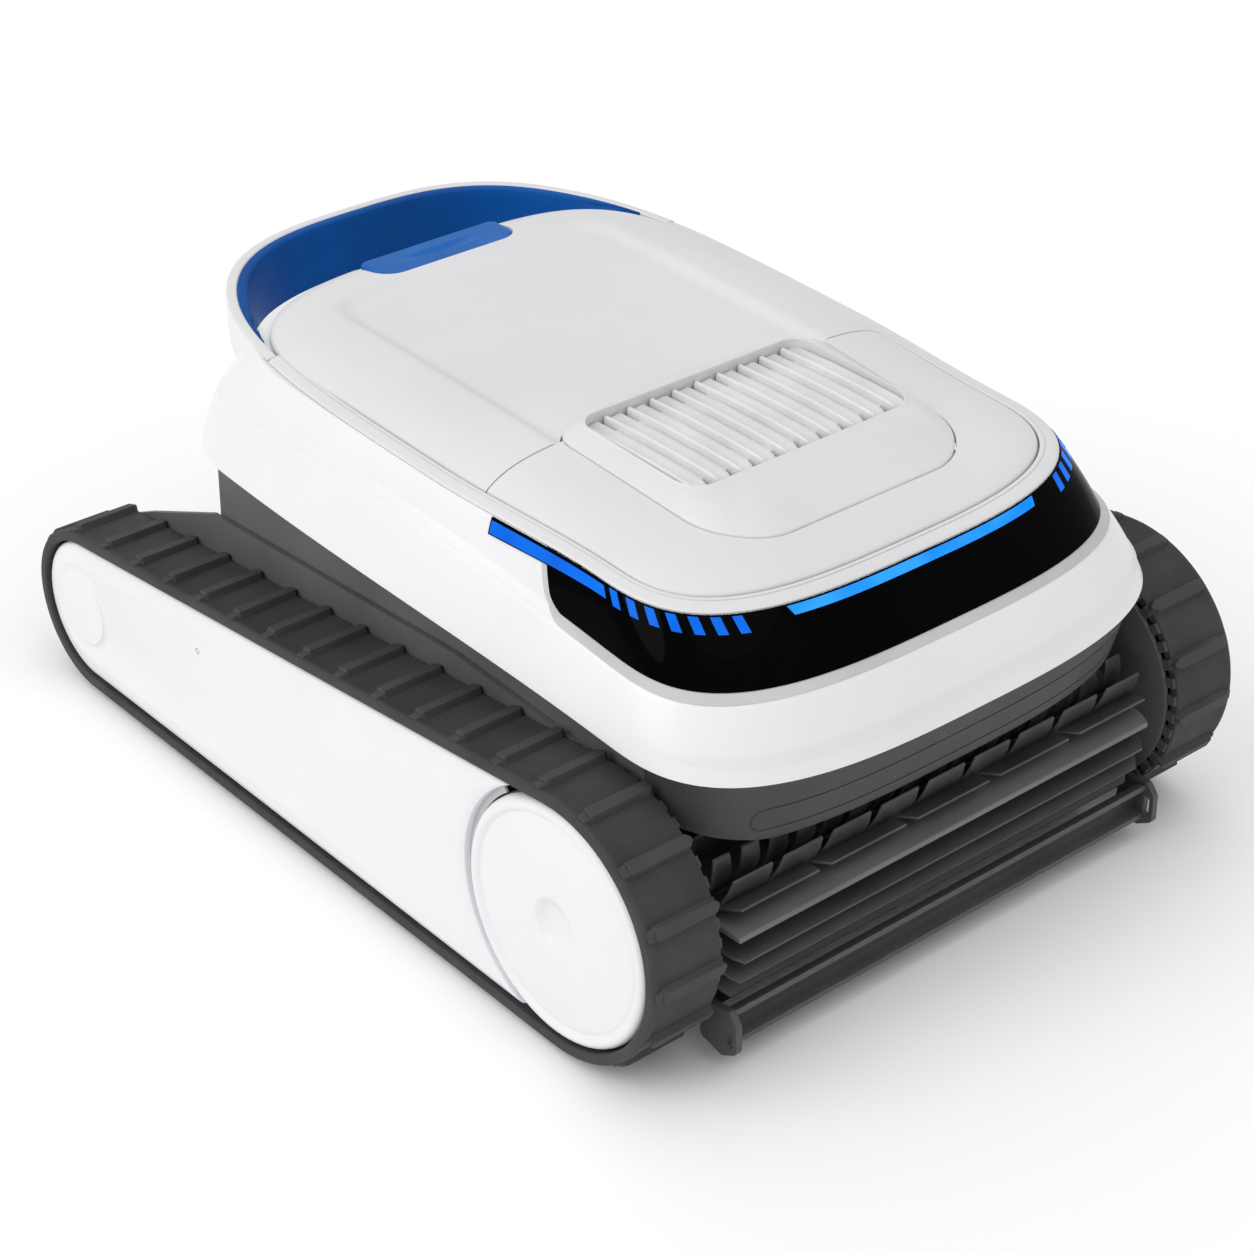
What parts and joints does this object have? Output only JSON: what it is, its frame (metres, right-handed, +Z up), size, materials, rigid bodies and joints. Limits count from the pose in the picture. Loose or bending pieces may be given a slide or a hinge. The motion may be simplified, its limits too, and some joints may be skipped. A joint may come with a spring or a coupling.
{
  "type": "robotic pool cleaner",
  "caption": "Cordless robotic pool cleaner: white shell on two rubber tracks, with a hinged filter lid, a sprung latch, a carry handle and a bladed roller.",
  "frame": {"origin": "on the floor, at the middle of the bounding box seen from above", "axes": "+Z up, -Y the way the cleaner drives (roller end), +X its left side"},
  "size_m": [0.38, 0.5062, 0.2326],
  "materials": {
    "white_shell": "glossy white moulded plastic",
    "pale_top": "fine satin pale grey plastic",
    "visor_black": "polished black plastic",
    "charcoal": "matte charcoal plastic",
    "track_rubber": "moulded dark rubber",
    "brush_rubber": "soft dark rubber",
    "handle_blue": "satin blue plastic",
    "light_blue": "lit blue light guide",
    "pin_steel": "turned stainless steel",
    "inner_grey": "plain dark grey plastic",
    "basket_smoke": "smoky moulded plastic"
  },
  "bodies": {
    "chassis": {"battery_pack": "inner_grey", "brush_gearmotor": "inner_grey", "charge_port_plug": "track_rubber", "chassis_tub": "charcoal", "control_box": "inner_grey", "drive_gearmotor_l": "inner_grey", "drive_gearmotor_r": "inner_grey", "filter_basket": "basket_smoke", "front_bumper": "charcoal", "front_deck": "pale_top", "grille_bezel": "pale_top", "grille_ribs": "white_shell", "handle_arch": "white_shell", "handle_liner": "handle_blue", "idler_pin_l": "pin_steel", "idler_pin_r": "pin_steel", "impeller_duct": "charcoal", "light_bar_front": "light_blue", "light_strip_l": "light_blue", "light_strip_r": "light_blue", "lip_rail": "charcoal", "pump_motor": "inner_grey", "roller_bushing_l": "pin_steel", "roller_bushing_r": "pin_steel", "side_cover_l": "white_shell", "side_cover_r": "white_shell", "skirt_shell": "white_shell", "top_rim": "pale_top", "track_belt_l": "track_rubber", "track_belt_r": "track_rubber", "track_frame_l": "charcoal", "track_frame_r": "charcoal", "track_guard_l": "charcoal", "track_guard_r": "charcoal", "upper_band": "white_shell", "visor": "visor_black"},
    "lid": {"lid": "pale_top"},
    "latch": {"latch_tab": "handle_blue"},
    "roller": {"brush_roller": "brush_rubber"},
    "impeller_wheel": {"impeller": "handle_blue"},
    "drive_left": {"drive_wheel_l": "charcoal", "hub_cap_l": "white_shell", "drive_shaft_l": "pin_steel"},
    "drive_right": {"drive_wheel_r": "charcoal", "hub_cap_r": "white_shell", "drive_shaft_r": "pin_steel"},
    "idler_left": {"idler_wheel_l": "charcoal"},
    "idler_right": {"idler_wheel_r": "charcoal"}
  },
  "joints": [
    {"name": "lid_hinge", "type": "hinge", "parent": "chassis", "child": "lid", "pos_m": [0, -0.056, 0.2236], "axis": [1, 0, 0], "range_deg": [0, 75]},
    {"name": "latch_pivot", "type": "hinge", "parent": "lid", "child": "latch", "pos_m": [0, 0.1298, 0.2255], "axis": [1, 0, 0], "range_deg": [0, 22], "stiffness_Nm_per_rad": 0.4},
    {"name": "roller_spin", "type": "hinge", "parent": "chassis", "child": "roller", "pos_m": [0, -0.1925, 0.0605], "axis": [1, 0, 0], "continuous": true},
    {"name": "impeller_spin", "type": "hinge", "parent": "chassis", "child": "impeller_wheel", "pos_m": [0, -0.09, 0.197], "axis": [0, 0, 1], "continuous": true},
    {"name": "drive_left_spin", "type": "hinge", "parent": "chassis", "child": "drive_left", "pos_m": [0.17, -0.18, 0.0699], "axis": [1, 0, 0], "continuous": true},
    {"name": "drive_right_spin", "type": "hinge", "parent": "chassis", "child": "drive_right", "pos_m": [-0.17, -0.18, 0.0699], "axis": [1, 0, 0], "continuous": true},
    {"name": "idler_left_spin", "type": "hinge", "parent": "chassis", "child": "idler_left", "pos_m": [0.16, 0.2043, 0.0488], "axis": [1, 0, 0], "continuous": true},
    {"name": "idler_right_spin", "type": "hinge", "parent": "chassis", "child": "idler_right", "pos_m": [-0.16, 0.2043, 0.0488], "axis": [1, 0, 0], "continuous": true}
  ],
  "couplings": [
    {"joint": "idler_left_spin", "follows": "drive_left_spin", "ratio": 1.5263},
    {"joint": "idler_right_spin", "follows": "drive_right_spin", "ratio": 1.5263}
  ]
}
